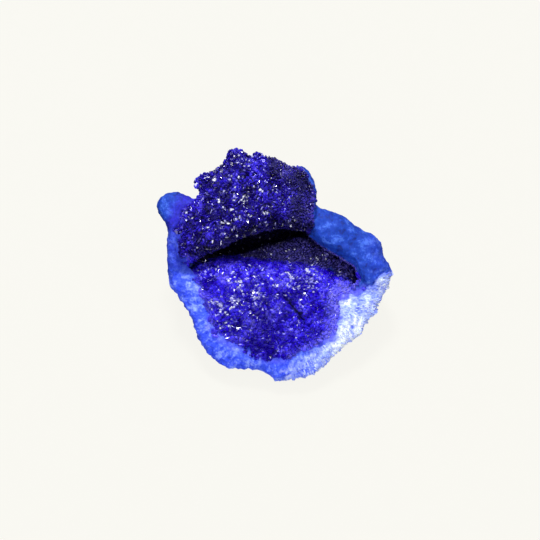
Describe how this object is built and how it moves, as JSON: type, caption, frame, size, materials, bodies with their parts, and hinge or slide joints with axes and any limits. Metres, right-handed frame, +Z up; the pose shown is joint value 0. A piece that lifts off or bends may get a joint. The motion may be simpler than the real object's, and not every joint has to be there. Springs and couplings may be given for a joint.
{
  "type": "azurite specimen",
  "caption": "Rounded blue azurite nodule, broken open on sparkling crystal-covered lobes and a dark crevice, with a smooth crust around them and a flat cut base to rest on.",
  "frame": {"origin": "middle of the resting footprint: the bottom centre of the bounding box", "axes": "+Z up from the resting face, +X to the right and -Y towards the viewer; the broken face leans back from the viewer, its normal pointing 60 degrees up"},
  "size_m": [0.05, 0.0452, 0.0341],
  "materials": {
    "azurite": "sparkling small crystals, with a smooth matt blue crust"
  },
  "bodies": {
    "root": {"azurite_specimen": "azurite"}
  },
  "joints": []
}
